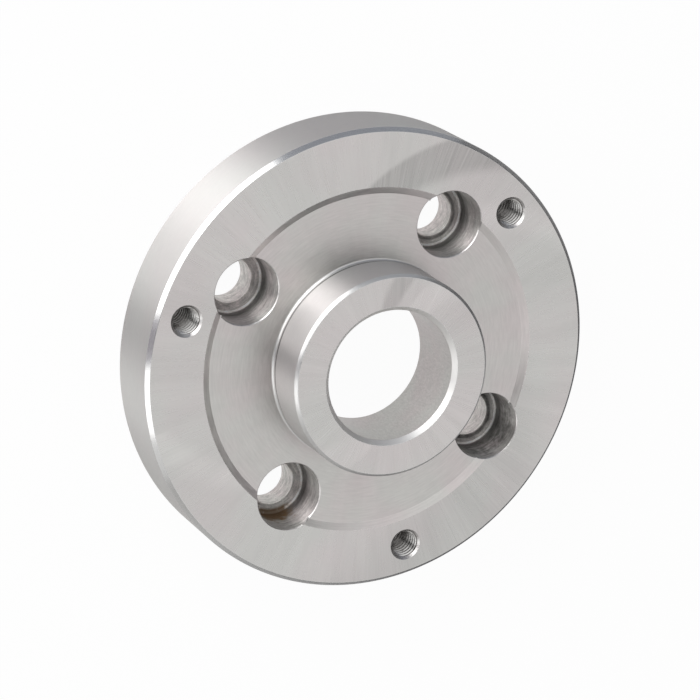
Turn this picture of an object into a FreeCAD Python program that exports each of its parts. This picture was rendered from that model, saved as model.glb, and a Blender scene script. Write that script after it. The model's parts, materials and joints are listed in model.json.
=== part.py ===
# Adapter plate that carries a 125 mm lathe chuck on a short-taper spindle nose of size 4.
# One turned and drilled steel piece. Its origin is the middle of the back face, which
# seats on the spindle, and +Z is the turning axis, towards the chuck. Sizes are in mm.
import FreeCAD, Part
import Sketcher
import os

NODE = "adapter_plate"
FULL_TURN = 360.0
MATCH = 1e-4
LEAST_CHANGE = 0.5

# name, value, what it is
SIZES = (
    ("disc_diameter", 125.0, "outside of the disc"),
    ("disc_thickness", 20.0, "back face to outer seating face"),
    ("rim_front_chamfer", 1.1, "edge of the rim at the chuck side"),
    ("rim_back_chamfer", 1.0, "edge of the rim at the spindle side"),
    ("hub_diameter", 54.6, "hub that enters the chuck"),
    ("hub_height", 14.0, "hub above the outer seating face"),
    ("hub_chamfer", 0.8, "outer edge of the hub's end face"),
    ("face_width", 15.7, "outer seating face, from the rim to the recess"),
    ("recess_depth", 1.0, "turned recess below the outer seating face"),
    ("recess_wall_run", 1.9, "how far the recess's sloping wall runs outwards"),
    ("relief_width", 1.8, "undercut at the foot of the hub, along the hub"),
    ("relief_depth", 0.3, "undercut at the foot of the hub, into the hub"),
    ("hub_root_radius", 0.7, "fillet between the undercut and the recess floor"),
    ("bore_diameter", 35.0, "through bore"),
    ("bore_front_chamfer", 1.2, "edge of the bore at the hub's end face"),
    ("bore_back_chamfer", 0.5, "edge of the bore at the socket floor"),
    ("taper_diameter", 63.513, "spindle taper, measured at the back face"),
    ("taper_half_angle", 7.125, "degrees from the axis, a taper of 1 in 4"),
    ("socket_depth", 13.0, "back face to the floor of the taper socket"),
    ("socket_mouth_chamfer", 0.5, "edge of the taper at the back face"),
    ("socket_corner_radius", 1.0, "fillet at the floor of the taper socket"),
    ("screw_circle_diameter", 82.6, "pitch circle of the spindle screws"),
    ("screw_count", 4, "spindle screws"),
    ("first_screw_angle", 45.0, "degrees from +X"),
    ("screw_clearance_diameter", 12.0, "hole for the shank of a 10 mm screw"),
    ("screw_edge_chamfer", 0.4, "both edges of the clearance hole"),
    ("counterbore_diameter", 18.0, "pocket for the screw's head"),
    ("counterbore_depth", 12.0, "outer seating face to the seat of the screw's head"),
    ("counterbore_corner_bevel", 0.7, "sloping corner at the seat of the screw's head"),
    ("tapped_hole_land", 3.1, "outer face left between a countersink and the rim's chamfer"),
    ("tapped_count", 3, "chuck screws"),
    ("first_tapped_angle", 30.0, "degrees from +X"),
    ("tap_drill_diameter", 6.8, "drilling for a coarse 8 mm thread"),
    ("countersink_diameter", 8.6, "countersink at both ends of the thread"),
    ("driver_pocket_diameter", 15.0, "blind pocket over the spindle's driving button"),
    ("driver_pocket_depth", 7.0, "back face to the floor of that pocket"),
    ("driver_pocket_angle", 90.0, "degrees from +X, on the spindle screws' circle"),
    ("driver_pocket_chamfer", 0.5, "edge of that pocket"),
)

# Levels above the back face and radii, worked out from the sizes
RIM = "sizes.disc_diameter / 2"
HUB = "sizes.hub_diameter / 2"
BORE = "sizes.bore_diameter / 2"
FACE_LEVEL = "sizes.disc_thickness"
TOP_LEVEL = "sizes.disc_thickness + sizes.hub_height"
RECESS_LEVEL = "sizes.disc_thickness - sizes.recess_depth"
RECESS_MOUTH = "sizes.disc_diameter / 2 - sizes.face_width"
RECESS = "sizes.disc_diameter / 2 - sizes.face_width - sizes.recess_wall_run"
NECK = "sizes.hub_diameter / 2 - sizes.relief_depth"
NECK_LEVEL = "sizes.disc_thickness - sizes.recess_depth + sizes.relief_width"
SEAT_LEVEL = "sizes.disc_thickness - sizes.counterbore_depth"
SOCKET_FLOOR = "sizes.taper_diameter / 2 - sizes.socket_depth * tan(sizes.taper_half_angle)"
SOCKET_MOUTH = "sizes.taper_diameter / 2 - sizes.socket_mouth_chamfer * tan(sizes.taper_half_angle)"
SCREW_HOLE = "sizes.screw_clearance_diameter / 2"
COUNTERBORE = "sizes.counterbore_diameter / 2"
TAPPED_CIRCLE = (
    "sizes.disc_diameter - 2 * (sizes.rim_front_chamfer + sizes.tapped_hole_land)"
    " - sizes.countersink_diameter"
)
TAP_DRILL = "sizes.tap_drill_diameter / 2"
DRIVER_POCKET = "sizes.driver_pocket_diameter / 2"
COUNTERSINK_SIZE = "(sizes.countersink_diameter - sizes.tap_drill_diameter) / 2"


def fill_sheet(doc):
    """Put each size in a named cell, so that every feature can refer to it."""
    sheet = doc.addObject("Spreadsheet::Sheet", "sizes")
    for row, (name, value, meaning) in enumerate(SIZES, start=1):
        sheet.set(f"A{row}", name)
        sheet.set(f"B{row}", str(value))
        sheet.set(f"C{row}", meaning)
        sheet.setAlias(f"B{row}", name)
    doc.recompute()


def value_of(doc, expression):
    """Work out an expression on the sheet, as a plain number."""
    result = doc.getObject("sizes").evalExpression(expression)
    return float(getattr(result, "Value", result))


def new_sketch(body, name, role, level=None):
    """Attach a sketch to one of the body's own planes, at a level above it if one is given."""
    sketch = body.newObject("Sketcher::SketchObject", name)
    plane = next(item for item in body.Origin.OriginFeatures if item.Role == role)
    sketch.AttachmentSupport = [(plane, "")]
    sketch.MapMode = "FlatFace"
    if level:
        sketch.setExpression("AttachmentOffset.Base.z", level)
    return sketch


def tie_point(sketch, geometry, end, direction, name, expression):
    """Hold one coordinate of a sketch point at an expression, or on the axis where it is 0."""
    if expression == "0":
        axis = -2 if direction == "X" else -1
        sketch.addConstraint(Sketcher.Constraint("PointOnObject", geometry, end, axis))
        return
    value = value_of(sketch.Document, expression)
    rule = Sketcher.Constraint(f"Distance{direction}", -1, 1, geometry, end, value)
    index = sketch.addConstraint(rule)
    sketch.renameConstraint(index, name)
    sketch.setExpression(f"Constraints.{name}", expression)


def draw_section(sketch, corners):
    """Draw a closed half section through corners, each a name, a radius and a level."""
    doc = sketch.Document
    count = len(corners)
    points = [
        FreeCAD.Vector(value_of(doc, radius), value_of(doc, level), 0)
        for _, radius, level in corners
    ]
    for index, point in enumerate(points):
        sketch.addGeometry(Part.LineSegment(point, points[(index + 1) % count]), False)
    for index in range(count):
        joint = Sketcher.Constraint("Coincident", index, 2, (index + 1) % count, 1)
        sketch.addConstraint(joint)
    for index, (name, radius, level) in enumerate(corners):
        _, last_radius, last_level = corners[index - 1]
        if index > 0 and level == last_level:
            sketch.addConstraint(Sketcher.Constraint("Horizontal", index - 1))
        else:
            tie_point(sketch, index, 1, "Y", f"{name}_level", level)
        if index > 0 and radius == last_radius:
            sketch.addConstraint(Sketcher.Constraint("Vertical", index - 1))
        else:
            tie_point(sketch, index, 1, "X", f"{name}_radius", radius)


def draw_hole_mark(sketch, circle, angle, radius):
    """Draw one circle on a pitch circle, at an angle from +X."""
    doc = sketch.Document
    across = f"({circle}) / 2 * cos({angle})"
    along = f"({circle}) / 2 * sin({angle})"
    centre = FreeCAD.Vector(value_of(doc, across), value_of(doc, along), 0)
    sketch.addGeometry(Part.Circle(centre, FreeCAD.Vector(0, 0, 1), value_of(doc, radius)), False)
    tie_point(sketch, 0, 3, "X", "across", across)
    tie_point(sketch, 0, 3, "Y", "along", along)
    index = sketch.addConstraint(Sketcher.Constraint("Radius", 0, value_of(doc, radius)))
    sketch.renameConstraint(index, "hole_radius")
    sketch.setExpression("Constraints.hole_radius", radius)


def settle(body, feature):
    """Recompute, and stop if the feature failed or left the solid as it was."""
    before = body.Shape.Volume if body.Shape and not body.Shape.isNull() else 0.0
    body.Tip = feature
    body.Document.recompute()
    if "Invalid" in feature.State or "Error" in feature.State:
        raise RuntimeError(f"{feature.Label} failed")
    if abs(feature.Shape.Volume - before) < LEAST_CHANGE:
        raise RuntimeError(f"{feature.Label} changes nothing")
    return feature


def turn(body, kind, name, corners):
    """Turn a half section about the part's axis, as a Revolution or a Groove."""
    sketch = new_sketch(body, f"{name}_section", "XZ_Plane")
    draw_section(sketch, corners)
    body.Document.recompute()
    feature = body.newObject(f"PartDesign::{kind}", name)
    feature.Profile = sketch
    feature.ReferenceAxis = (sketch, ["V_Axis"])
    feature.Angle = FULL_TURN
    return settle(body, feature)


def turned_blank(body):
    """The disc and its hub, before any edge is broken."""
    return turn(body, "Revolution", "blank", (
        ("middle", "0", "0"),
        ("rim_back", RIM, "0"),
        ("rim_front", RIM, FACE_LEVEL),
        ("hub_foot", HUB, FACE_LEVEL),
        ("hub_end", HUB, TOP_LEVEL),
        ("top", "0", TOP_LEVEL),
    ))


def turned_face_recess(body):
    """The recess around the hub, with its sloping outer wall and the undercut in the hub."""
    return turn(body, "Groove", "face_recess", (
        ("neck_foot", NECK, RECESS_LEVEL),
        ("floor_edge", RECESS, RECESS_LEVEL),
        ("wall_top", RECESS_MOUTH, FACE_LEVEL),
        ("hub_side", HUB, FACE_LEVEL),
        ("neck_shoulder", HUB, f"{NECK_LEVEL} + sizes.relief_depth"),
        ("neck_top", NECK, NECK_LEVEL),
    ))


def turned_bore_and_socket(body):
    """The through bore and the tapered socket for the spindle nose, with their edges."""
    return turn(body, "Groove", "bore_and_socket", (
        ("axis_back", "0", "0"),
        ("mouth", f"{SOCKET_MOUTH} + sizes.socket_mouth_chamfer", "0"),
        ("taper_start", SOCKET_MOUTH, "sizes.socket_mouth_chamfer"),
        ("taper_end", SOCKET_FLOOR, "sizes.socket_depth"),
        ("bore_back", f"{BORE} + sizes.bore_back_chamfer", "sizes.socket_depth"),
        ("bore_start", BORE, "sizes.socket_depth + sizes.bore_back_chamfer"),
        ("bore_end", BORE, f"{TOP_LEVEL} - sizes.bore_front_chamfer"),
        ("bore_front", f"{BORE} + sizes.bore_front_chamfer", TOP_LEVEL),
        ("axis_front", "0", TOP_LEVEL),
    ))


def drilled_hole(body, name, circle, angle, radius, cut_type, cut_diameter, cut_depth=None):
    """One stepped hole through the disc, from the level of the outer seating face."""
    sketch = new_sketch(body, f"{name}_mark", "XY_Plane", FACE_LEVEL)
    draw_hole_mark(sketch, circle, angle, radius)
    body.Document.recompute()
    hole = body.newObject("PartDesign::Hole", name)
    hole.Profile = sketch
    body.Document.recompute()
    hole.Threaded = False
    hole.DepthType = "ThroughAll"
    hole.HoleCutType = cut_type
    hole.HoleCutCustomValues = True
    hole.setExpression("Diameter", f"2 * {radius}")
    hole.setExpression("HoleCutDiameter", cut_diameter)
    if cut_depth:
        hole.setExpression("HoleCutDepth", cut_depth)
    return settle(body, hole)


def repeat_around(body, name, feature, count):
    """Copy a feature evenly around the part's axis."""
    axis = next(item for item in body.Origin.OriginFeatures if item.Role == "Z_Axis")
    pattern = body.newObject("PartDesign::PolarPattern", name)
    pattern.Originals = [feature]
    pattern.Axis = (axis, [""])
    pattern.Angle = FULL_TURN
    pattern.setExpression("Occurrences", count)
    return settle(body, pattern)


def drilled_driver_pocket(body):
    """The blind pocket in the back face that clears the spindle's driving button."""
    sketch = new_sketch(body, "driver_pocket_mark", "XY_Plane")
    draw_hole_mark(
        sketch, "sizes.screw_circle_diameter", "sizes.driver_pocket_angle", DRIVER_POCKET
    )
    pocket = body.newObject("PartDesign::Pocket", "driver_pocket")
    pocket.Profile = sketch
    pocket.Reversed = True
    pocket.setExpression("Length", "sizes.driver_pocket_depth")
    return settle(body, pocket)


def ring_edges(body, rings):
    """Name the full circular edges that lie at the given radii and levels."""
    doc = body.Document
    names = []
    for radius, level in rings:
        wanted = (value_of(doc, radius), value_of(doc, level))
        for number, edge in enumerate(body.Tip.Shape.Edges, start=1):
            if not isinstance(edge.Curve, Part.Circle):
                continue
            found = (edge.Curve.Radius, edge.Curve.Center.z)
            if max(abs(found[0] - wanted[0]), abs(found[1] - wanted[1])) < MATCH:
                names.append(f"Edge{number}")
    return names


def broken_edges(body, kind, name, size, rings):
    """Chamfer or fillet the edges at the given radii and levels."""
    names = ring_edges(body, rings)
    if len(names) < len(rings):
        raise RuntimeError(f"{name} finds too few edges")
    base = body.Tip
    feature = body.newObject(f"PartDesign::{kind}", name)
    feature.Base = (base, names)
    feature.setExpression("Size" if kind == "Chamfer" else "Radius", size)
    return settle(body, feature)


def build_plate(doc):
    """Make the plate in the order a machinist would: turn it, drill it, break its edges."""
    body = doc.addObject("PartDesign::Body", NODE)
    body.Label = NODE
    turned_blank(body)
    turned_face_recess(body)
    turned_bore_and_socket(body)
    screw_hole = drilled_hole(
        body, "screw_hole", "sizes.screw_circle_diameter", "sizes.first_screw_angle",
        SCREW_HOLE, "Counterbore", "sizes.counterbore_diameter", "sizes.counterbore_depth",
    )
    repeat_around(body, "screw_holes", screw_hole, "sizes.screw_count")
    tapped_hole = drilled_hole(
        body, "tapped_hole", TAPPED_CIRCLE, "sizes.first_tapped_angle",
        TAP_DRILL, "Countersink", "sizes.countersink_diameter",
    )
    repeat_around(body, "tapped_holes", tapped_hole, "sizes.tapped_count")
    drilled_driver_pocket(body)
    broken_edges(body, "Chamfer", "rim_front_edge", "sizes.rim_front_chamfer", [(RIM, FACE_LEVEL)])
    broken_edges(body, "Chamfer", "rim_back_edge", "sizes.rim_back_chamfer", [(RIM, "0")])
    broken_edges(body, "Chamfer", "hub_edge", "sizes.hub_chamfer", [(HUB, TOP_LEVEL)])
    broken_edges(body, "Chamfer", "screw_hole_edges", "sizes.screw_edge_chamfer",
                 [(SCREW_HOLE, "0"), (SCREW_HOLE, SEAT_LEVEL)])
    broken_edges(body, "Chamfer", "tapped_hole_edges", COUNTERSINK_SIZE, [(TAP_DRILL, "0")])
    broken_edges(body, "Chamfer", "driver_pocket_edge", "sizes.driver_pocket_chamfer",
                 [(DRIVER_POCKET, "0")])
    broken_edges(body, "Chamfer", "screw_seat_corners", "sizes.counterbore_corner_bevel",
                 [(COUNTERBORE, SEAT_LEVEL)])
    broken_edges(body, "Fillet", "socket_corner", "sizes.socket_corner_radius",
                 [(SOCKET_FLOOR, "sizes.socket_depth")])
    broken_edges(body, "Fillet", "hub_root", "sizes.hub_root_radius", [(NECK, RECESS_LEVEL)])
    return body


def check_document(doc, body):
    """Stop if any object failed, or if the plate isn't one sound solid."""
    for item in doc.Objects:
        if "Invalid" in item.State or "Error" in item.State:
            raise RuntimeError(f"{item.Label} is in error")
    shape = body.Shape
    if shape.isNull() or not shape.isValid() or len(shape.Solids) != 1:
        raise RuntimeError(f"{body.Label} isn't one valid solid")


def main():
    """Build the plate and write its solid."""
    doc = FreeCAD.newDocument("chuck_adapter_plate")
    fill_sheet(doc)
    body = build_plate(doc)
    doc.recompute()
    check_document(doc, body)
    os.makedirs("parts", exist_ok=True)
    body.Shape.exportStep(f"parts/{body.Label}.step")
    box = body.Shape.BoundBox
    print(f"{body.Label}: {body.Shape.Volume:.1f} mm3, "
          f"{box.XLength:.2f} x {box.YLength:.2f} x {box.ZLength:.2f} mm")


main()
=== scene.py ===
import json
import math

import bmesh
import bpy
from mathutils import Matrix, Vector


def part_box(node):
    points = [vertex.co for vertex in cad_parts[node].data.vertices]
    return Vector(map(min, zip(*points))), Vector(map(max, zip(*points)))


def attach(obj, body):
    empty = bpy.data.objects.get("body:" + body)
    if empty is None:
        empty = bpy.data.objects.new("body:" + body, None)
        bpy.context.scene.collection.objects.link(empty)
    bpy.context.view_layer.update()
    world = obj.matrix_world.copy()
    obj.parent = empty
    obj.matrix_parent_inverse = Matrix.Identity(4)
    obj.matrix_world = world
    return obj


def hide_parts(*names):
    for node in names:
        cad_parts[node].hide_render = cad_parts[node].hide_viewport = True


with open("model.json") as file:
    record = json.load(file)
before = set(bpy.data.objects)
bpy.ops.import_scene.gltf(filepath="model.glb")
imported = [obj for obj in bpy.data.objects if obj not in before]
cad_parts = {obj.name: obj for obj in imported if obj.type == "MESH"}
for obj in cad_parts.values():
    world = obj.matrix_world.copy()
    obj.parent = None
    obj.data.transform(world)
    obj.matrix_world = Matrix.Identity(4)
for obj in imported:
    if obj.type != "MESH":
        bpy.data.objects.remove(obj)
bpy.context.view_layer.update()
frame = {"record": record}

bl_info = {
    "name": "Chuck adapter plate",
    "version": (1, 0, 0),
    "blender": (4, 5, 0),
    "location": "View3D > Sidebar > Adapter plate",
    "description": "Turns, drills, taps and finishes a lathe chuck's adapter plate, and lights it",
    "category": "Object",
}

NODE = "adapter_plate"
BODY = "root"
PIECE = "turned_plate"
MM = 0.001
MOUNTS = {mount["name"]: mount for mount in frame["record"]["mounts"]}
LOW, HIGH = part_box(NODE)

# Modelling limits: how far a cutter runs past a face, how near a point has to be to a place
# to count as being there, and how near two points are welded
PAST = 1.0 * MM
NEAR = 0.01 * MM
WELD = 0.001 * MM
PLATE_STEPS = 360
HOLE_STEPS = 96
THREAD_STEPS = 48
SMOOTH_ANGLE = math.radians(32)
# Cutters are turned by this much, so that no point of one lies on an edge of the plate
ASIDE = math.radians(1.3)


# Sizes

def length(name, default, description):
    """A size in metres."""
    return bpy.props.FloatProperty(
        name=name, description=description, default=default, min=0.0, precision=5, unit="LENGTH"
    )


def angle(name, degrees, description):
    """An angle that is written in degrees."""
    return bpy.props.FloatProperty(
        name=name, description=description, default=math.radians(degrees), subtype="ANGLE"
    )


def tint(name, default, description):
    """A colour."""
    return bpy.props.FloatVectorProperty(
        name=name, description=description, default=default, subtype="COLOR",
        size=3, min=0.0, max=1.0,
    )


def stated(name, key):
    """A size that the record states for a mount, in metres."""
    return MOUNTS[name]["dims"][key] * MM


class PlateSizes(bpy.types.PropertyGroup):
    """The driving sizes of the plate. Levels are above its back face."""

    rim_radius: length("Rim radius", HIGH.x, "Outside of the disc")
    face_level: length("Face level", MOUNTS["chuck_face"]["pos_m"][2], "Outer seating face")
    top_level: length("Top level", HIGH.z, "End face of the hub")
    rim_front_chamfer: length("Rim front chamfer", 1.1 * MM, "Edge of the rim, chuck side")
    rim_back_chamfer: length("Rim back chamfer", 1.0 * MM, "Edge of the rim, spindle side")
    face_width: length("Face width", 15.7 * MM, "Outer seating face, rim to recess")
    recess_depth: length("Recess depth", 1.0 * MM, "Recess below the outer seating face")
    recess_wall_run: length("Recess wall run", 1.9 * MM, "Run of the recess's sloping wall")
    hub_radius: length("Hub radius", stated("hub", "r_mm"), "Hub that enters the chuck")
    hub_chamfer: length("Hub chamfer", 0.8 * MM, "Outer edge of the hub's end face")
    hub_root_radius: length("Hub root radius", 0.7 * MM, "Fillet at the foot of the hub")
    relief_width: length("Relief width", 1.8 * MM, "Undercut at the hub's foot, along the hub")
    relief_depth: length("Relief depth", 0.3 * MM, "Undercut at the hub's foot, into the hub")
    bore_radius: length("Bore radius", stated("bore", "r_mm"), "Through bore")
    bore_front_chamfer: length("Bore front chamfer", 1.2 * MM, "Edge of the bore at the hub")
    bore_back_chamfer: length("Bore back chamfer", 0.5 * MM, "Edge of the bore at the socket")
    taper_radius: length("Taper radius", 31.7565 * MM, "Spindle taper at the back face")
    taper_half_angle: angle("Taper half angle", 7.125, "Spindle taper, from the axis")
    socket_depth: length("Socket depth", 13.0 * MM, "Back face to the taper socket's floor")
    socket_chamfer: length("Socket chamfer", 0.5 * MM, "Edge of the taper at the back face")
    socket_corner: length("Socket corner", 0.9 * MM, "Fillet at the floor of the socket")
    screw_circle: length("Screw circle", stated("spindle_screws", "pcd_mm") / 2, "Radius")
    first_screw: angle("First screw", 45.0, "Spindle screw nearest to +X")
    screw_radius: length("Screw hole", stated("spindle_screws", "hole_r_mm"), "Radius")
    screw_chamfer: length("Screw hole chamfer", 0.4 * MM, "Both edges of the screw hole")
    pocket_radius: length("Head pocket", 9.0 * MM, "Radius of the pocket for a screw's head")
    pocket_depth: length("Head pocket depth", 12.0 * MM, "Outer seating face to the seat")
    pocket_corner: length("Head pocket corner", 0.6 * MM, "Fillet at the seat")
    tapped_circle: length("Tapped circle", stated("chuck_screws", "pcd_mm") / 2, "Radius")
    first_tapped: angle("First tapped hole", 30.0, "Tapped hole nearest to +X")
    tap_radius: length("Tap drill", stated("chuck_screws", "hole_r_mm"), "Crest of the thread")
    thread_radius: length("Thread", 4.0 * MM, "Root of the thread")
    thread_pitch: length("Thread pitch", 1.25 * MM, "Rise of the thread in one turn")
    countersink_radius: length("Countersink", 4.3 * MM, "Mouth of a tapped hole, radius")
    driver_radius: length("Driver pocket", 7.5 * MM, "Blind pocket for the driving button")
    driver_depth: length("Driver pocket depth", 7.0 * MM, "Back face to the pocket's floor")
    driver_angle: angle("Driver pocket place", 90.0, "On the screws' circle")
    driver_chamfer: length("Driver pocket chamfer", 0.5 * MM, "Edge of that pocket")
    edge_round: length("Edge round", 0.09 * MM, "Round that deburring leaves on each edge")
    mouth_chamfer: length("Mouth chamfer", 0.22 * MM, "Edge of each head pocket")


class PlateFinish(bpy.types.PropertyGroup):
    """The colours of the steel, as its finishes show them."""

    ground: tint("Ground", (0.582, 0.580, 0.574), "Ground seating faces and edges")
    turned: tint("Turned", (0.572, 0.568, 0.562), "Turned recess, rim and hub")
    bored: tint("Bored", (0.580, 0.577, 0.569), "Through bore")
    drilled: tint("Drilled", (0.690, 0.682, 0.670), "Screw holes, threads and the bore's edge")
    # The colour of the painted shade in the tapped holes
    thread_shade: tint("Oily", (0.060, 0.052, 0.047), "Cutting oil left in the threads")
    stain: tint("Stain", (0.200, 0.120, 0.055), "Oil dried at the foot of a pocket")


# Mesh tools

def deselect_all():
    """Leave nothing selected, in object mode."""
    if bpy.context.object and bpy.context.object.mode != "OBJECT":
        bpy.ops.object.mode_set(mode="OBJECT")
    bpy.ops.object.select_all(action="DESELECT")


def activate(piece):
    """Select one object alone and make it the active one."""
    deselect_all()
    piece.select_set(True)
    bpy.context.view_layer.objects.active = piece


def draw_chain(name, corners, centre=(0.0, 0.0)):
    """Draw a chain of edges beside an axis through corners, each a radius and a level."""
    deselect_all()
    radius, level = corners[0]
    place = (centre[0] + radius, centre[1], level)
    bpy.ops.mesh.primitive_plane_add(size=PAST, location=place)
    piece = bpy.context.object
    piece.name = name
    piece.data.name = name
    bpy.ops.object.transform_apply(location=True, rotation=True, scale=True)
    bpy.ops.object.mode_set(mode="EDIT")
    bpy.ops.mesh.select_mode(type="VERT")
    bpy.ops.mesh.select_all(action="SELECT")
    bpy.ops.mesh.merge(type="CENTER")
    for (old_radius, old_level), (radius, level) in zip(corners, corners[1:]):
        step = (radius - old_radius, 0.0, level - old_level)
        bpy.ops.mesh.extrude_region_move(TRANSFORM_OT_translate={"value": step})
    return piece


def weld_and_face_outwards():
    """Merge doubles and turn every face outwards, in edit mode."""
    bpy.ops.mesh.select_all(action="SELECT")
    bpy.ops.mesh.remove_doubles(threshold=WELD)
    bpy.ops.mesh.normals_make_consistent(inside=False)


def turn_aside(centre):
    """Turn all of a cutter slightly round its own axis, in edit mode."""
    bpy.ops.mesh.select_all(action="SELECT")
    bpy.ops.transform.rotate(
        value=ASIDE, orient_axis="Z", center_override=(centre[0], centre[1], 0.0)
    )


def spun(name, corners, steps, centre=(0.0, 0.0)):
    """Spin a half section round its axis. A section that starts off the axis is a ring."""
    chain = list(corners)
    if corners[0][0] > 0.0:
        chain.append(corners[0])
    piece = draw_chain(name, chain, centre)
    bpy.ops.mesh.select_all(action="SELECT")
    bpy.ops.mesh.spin(
        steps=steps, angle=math.tau, center=(centre[0], centre[1], 0.0), axis=(0.0, 0.0, 1.0)
    )
    weld_and_face_outwards()
    if centre != (0.0, 0.0):
        turn_aside(centre)
    bpy.ops.object.mode_set(mode="OBJECT")
    return piece


def bevel_where(piece, wanted, size, segments):
    """Bevel each edge whose two points pass a test."""
    activate(piece)
    bpy.ops.object.mode_set(mode="EDIT")
    bpy.ops.mesh.select_mode(type="EDGE")
    bpy.ops.mesh.select_all(action="DESELECT")
    mesh = bmesh.from_edit_mesh(piece.data)
    for edge in mesh.edges:
        if wanted([vertex.co for vertex in edge.verts]):
            edge.select_set(True)
    bmesh.update_edit_mesh(piece.data)
    bpy.ops.mesh.bevel(offset=size, segments=segments, affect="EDGES")
    bpy.ops.object.mode_set(mode="OBJECT")


def soften_rings(piece, rings, size, segments, centre=(0.0, 0.0)):
    """Round the edges that run round an axis at the given radii and levels."""
    def on_ring(points):
        places = [(math.dist(point.xy, centre), point.z) for point in points]
        return any(
            all(abs(r - radius) < NEAR and abs(z - level) < NEAR for r, z in places)
            for radius, level in rings
        )

    bevel_where(piece, on_ring, size, segments)


def cut(piece, tool):
    """Take a cutter's volume out of the piece, delete the cutter and weld the new seams."""
    activate(piece)
    modifier = piece.modifiers.new("cut", "BOOLEAN")
    modifier.operation = "DIFFERENCE"
    modifier.solver = "EXACT"
    modifier.object = tool
    bpy.ops.object.modifier_apply(modifier=modifier.name)
    bpy.data.objects.remove(tool)
    bpy.ops.object.mode_set(mode="EDIT")
    weld_and_face_outwards()
    bpy.ops.object.mode_set(mode="OBJECT")


def places_around(circle, first, count):
    """Places spread evenly round the main axis."""
    turns = (first + math.tau * number / count for number in range(count))
    return [(circle * math.cos(turn), circle * math.sin(turn)) for turn in turns]


def screw_places(sizes):
    """Middles of the spindle screws' holes."""
    count = MOUNTS["spindle_screws"]["dims"]["count"]
    return places_around(sizes.screw_circle, sizes.first_screw, count)


def tapped_places(sizes):
    """Middles of the tapped holes."""
    count = MOUNTS["chuck_screws"]["dims"]["count"]
    return places_around(sizes.tapped_circle, sizes.first_tapped, count)


def driver_place(sizes):
    """Middle of the driving button's pocket."""
    return places_around(sizes.screw_circle, sizes.driver_angle, 1)[0]


# The turned blank

def blank_section(sizes):
    """Corners of the half section, from the socket's mouth outwards and round to it again."""
    recess_mouth = sizes.rim_radius - sizes.face_width
    recess_level = sizes.face_level - sizes.recess_depth
    neck = sizes.hub_radius - sizes.relief_depth
    neck_top = recess_level + sizes.relief_width
    slope = math.tan(sizes.taper_half_angle)
    taper_start = sizes.taper_radius - sizes.socket_chamfer * slope
    return (
        (taper_start + sizes.socket_chamfer, 0.0),
        (sizes.rim_radius - sizes.rim_back_chamfer, 0.0),
        (sizes.rim_radius, sizes.rim_back_chamfer),
        (sizes.rim_radius, sizes.face_level - sizes.rim_front_chamfer),
        (sizes.rim_radius - sizes.rim_front_chamfer, sizes.face_level),
        (recess_mouth, sizes.face_level),
        (recess_mouth - sizes.recess_wall_run, recess_level),
        (neck, recess_level),
        (neck, neck_top),
        (sizes.hub_radius, neck_top + sizes.relief_depth),
        (sizes.hub_radius, sizes.top_level - sizes.hub_chamfer),
        (sizes.hub_radius - sizes.hub_chamfer, sizes.top_level),
        (sizes.bore_radius + sizes.bore_front_chamfer, sizes.top_level),
        (sizes.bore_radius, sizes.top_level - sizes.bore_front_chamfer),
        (sizes.bore_radius, sizes.socket_depth + sizes.bore_back_chamfer),
        (sizes.bore_radius + sizes.bore_back_chamfer, sizes.socket_depth),
        (sizes.taper_radius - sizes.socket_depth * slope, sizes.socket_depth),
        (taper_start, sizes.socket_chamfer),
    )


def turned_blank(sizes):
    """The disc with its hub, recess, bore and taper socket, every edge slightly rounded."""
    section = blank_section(sizes)
    neck = sizes.hub_radius - sizes.relief_depth
    hub_root = (neck, sizes.face_level - sizes.recess_depth)
    slope = math.tan(sizes.taper_half_angle)
    socket_corner = (sizes.taper_radius - sizes.socket_depth * slope, sizes.socket_depth)
    plate = spun(PIECE, section, PLATE_STEPS)
    soften_rings(plate, [hub_root], sizes.hub_root_radius, 5)
    soften_rings(plate, [socket_corner], sizes.socket_corner, 5)
    sharp = [
        corner for corner in section
        if math.dist(corner, hub_root) > NEAR and math.dist(corner, socket_corner) > NEAR
    ]
    soften_rings(plate, sharp, sizes.edge_round, 2)
    return plate


# The cutters

def screw_hole_cutter(sizes, centre):
    """A drill for the screw's shank with a wider pocket for its head."""
    seat = sizes.face_level - sizes.pocket_depth
    chamfer = sizes.screw_chamfer
    section = (
        (0.0, -PAST),
        (sizes.screw_radius + chamfer + PAST, -PAST),
        (sizes.screw_radius, chamfer),
        (sizes.screw_radius, seat - chamfer),
        (sizes.screw_radius + chamfer, seat),
        (sizes.pocket_radius, seat),
        (sizes.pocket_radius, sizes.face_level + PAST),
        (0.0, sizes.face_level + PAST),
    )
    cutter = spun("screw_hole_cutter", section, HOLE_STEPS, centre)
    soften_rings(cutter, [(sizes.pocket_radius, seat)], sizes.pocket_corner, 5, centre)
    return cutter


def thread_section(sizes):
    """One turn's profile of an internal thread, flat at crest and root."""
    pitch = sizes.thread_pitch
    crest = pitch / 4
    root = pitch / 8
    flank = (pitch - crest - root) / 2
    half_way = (sizes.tap_radius + sizes.thread_radius) / 2
    return (
        (sizes.tap_radius, 0.0),
        (sizes.tap_radius, crest),
        (half_way, crest + flank / 2),
        (sizes.thread_radius, crest + flank),
        (sizes.thread_radius, crest + flank + root),
        (sizes.tap_radius, pitch),
    )


def trim(level, keep_above):
    """Cut the selected mesh off at a level and close it there, in edit mode."""
    bpy.ops.mesh.select_all(action="SELECT")
    bpy.ops.mesh.bisect(
        plane_co=(0.0, 0.0, level), plane_no=(0.0, 0.0, 1.0), use_fill=True,
        clear_inner=keep_above, clear_outer=not keep_above, threshold=WELD / 10,
    )


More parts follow.
